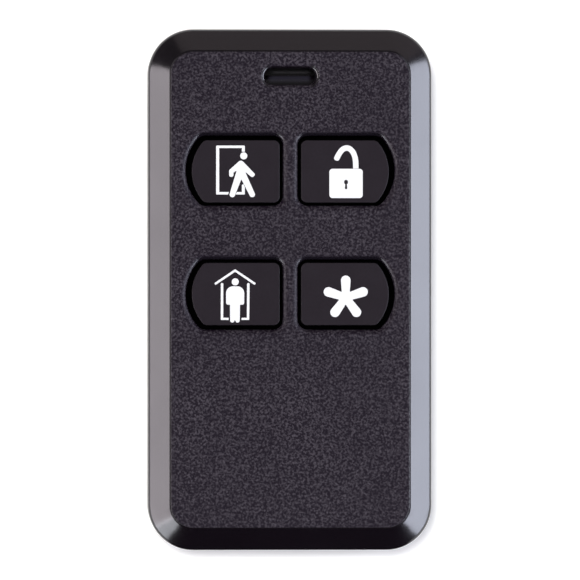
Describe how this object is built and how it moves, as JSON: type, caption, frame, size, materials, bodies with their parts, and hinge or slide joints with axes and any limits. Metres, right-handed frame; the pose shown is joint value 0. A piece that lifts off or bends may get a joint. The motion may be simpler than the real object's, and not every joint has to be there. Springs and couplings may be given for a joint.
{
  "type": "alarm key fob",
  "caption": "Bevelled pocket remote for an alarm, with D-shaped keys that press down, a key-ring slot, and its board, switches, coin cell and screws inside.",
  "frame": {"origin": "middle of the back face, on which the fob lies", "axes": "+Z out of the front face with the keys, +Y along the fob towards the key-ring slot, +X to the right when the front is looked at with the slot up"},
  "size_m": [0.0318, 0.0582, 0.0115],
  "materials": {
    "case_plastic": "spark-grained charcoal ABS",
    "key_plastic": "smooth satin black plastic",
    "silicone": "moulded grey silicone",
    "board_laminate": "green solder mask on glass laminate",
    "switch_plastic": "moulded black nylon",
    "stem_plastic": "moulded natural nylon",
    "spring_steel": "stamped stainless steel",
    "cell_steel": "drawn nickel-plated steel",
    "cell_gasket": "moulded polypropylene",
    "cell_cathode": "pressed black pellet",
    "cell_separator": "thin unwoven sheet",
    "cell_lithium": "soft light metal, as light as a plastic",
    "antenna_copper": "enamelled copper wire",
    "chip_plastic": "moulded black epoxy",
    "tinned_metal": "tinned metal",
    "capacitor_ceramic": "tan ceramic",
    "resistor_ceramic": "black glazed ceramic",
    "inductor_ferrite": "dark ferrite",
    "screw_steel": "zinc-plated steel"
  },
  "bodies": {
    "case": {"front_cover": "case_plastic", "back_cover": "case_plastic", "keypad_mat": "silicone", "circuit_board": "board_laminate", "coin_cell_can": "cell_steel", "coin_cell_gasket": "cell_gasket", "coin_cell_cathode": "cell_cathode", "coin_cell_separator": "cell_separator", "coin_cell_lithium": "cell_lithium", "coin_cell_cap": "cell_steel", "battery_clip": "spring_steel", "battery_contact": "spring_steel", "antenna_loop": "antenna_copper", "microcontroller_body": "chip_plastic", "microcontroller_leads": "tinned_metal", "transmitter_chip": "chip_plastic", "crystal_can": "cell_steel", "capacitors": "capacitor_ceramic", "resistors": "resistor_ceramic", "inductors": "inductor_ferrite", "case_screws": "screw_steel", "board_screws": "screw_steel", "keypad_web_arm_away": "silicone", "switch_base_arm_away": "switch_plastic", "switch_frame_arm_away": "spring_steel", "switch_dome_arm_away": "spring_steel", "keypad_web_disarm": "silicone", "switch_base_disarm": "switch_plastic", "switch_frame_disarm": "spring_steel", "switch_dome_disarm": "spring_steel", "keypad_web_arm_stay": "silicone", "switch_base_arm_stay": "switch_plastic", "switch_frame_arm_stay": "spring_steel", "switch_dome_arm_stay": "spring_steel", "keypad_web_auxiliary": "silicone", "switch_base_auxiliary": "switch_plastic", "switch_frame_auxiliary": "spring_steel", "switch_dome_auxiliary": "spring_steel"},
    "key_arm_away": {"button_arm_away": "key_plastic", "keypad_pad_arm_away": "silicone", "switch_stem_arm_away": "stem_plastic"},
    "key_disarm": {"button_disarm": "key_plastic", "keypad_pad_disarm": "silicone", "switch_stem_disarm": "stem_plastic"},
    "key_arm_stay": {"button_arm_stay": "key_plastic", "keypad_pad_arm_stay": "silicone", "switch_stem_arm_stay": "stem_plastic"},
    "key_auxiliary": {"button_auxiliary": "key_plastic", "keypad_pad_auxiliary": "silicone", "switch_stem_auxiliary": "stem_plastic"}
  },
  "joints": [
    {"name": "press_arm_away", "type": "slide", "parent": "case", "child": "key_arm_away", "axis": [0, 0, -1], "range_m": [0, 0.00025], "stiffness_N_per_m": 4000, "springref_m": -0.0002, "deforming": ["keypad_web_arm_away", "switch_dome_arm_away"]},
    {"name": "press_disarm", "type": "slide", "parent": "case", "child": "key_disarm", "axis": [0, 0, -1], "range_m": [0, 0.00025], "stiffness_N_per_m": 4000, "springref_m": -0.0002, "deforming": ["keypad_web_disarm", "switch_dome_disarm"]},
    {"name": "press_arm_stay", "type": "slide", "parent": "case", "child": "key_arm_stay", "axis": [0, 0, -1], "range_m": [0, 0.00025], "stiffness_N_per_m": 4000, "springref_m": -0.0002, "deforming": ["keypad_web_arm_stay", "switch_dome_arm_stay"]},
    {"name": "press_auxiliary", "type": "slide", "parent": "case", "child": "key_auxiliary", "axis": [0, 0, -1], "range_m": [0, 0.00025], "stiffness_N_per_m": 4000, "springref_m": -0.0002, "deforming": ["keypad_web_auxiliary", "switch_dome_auxiliary"]}
  ]
}
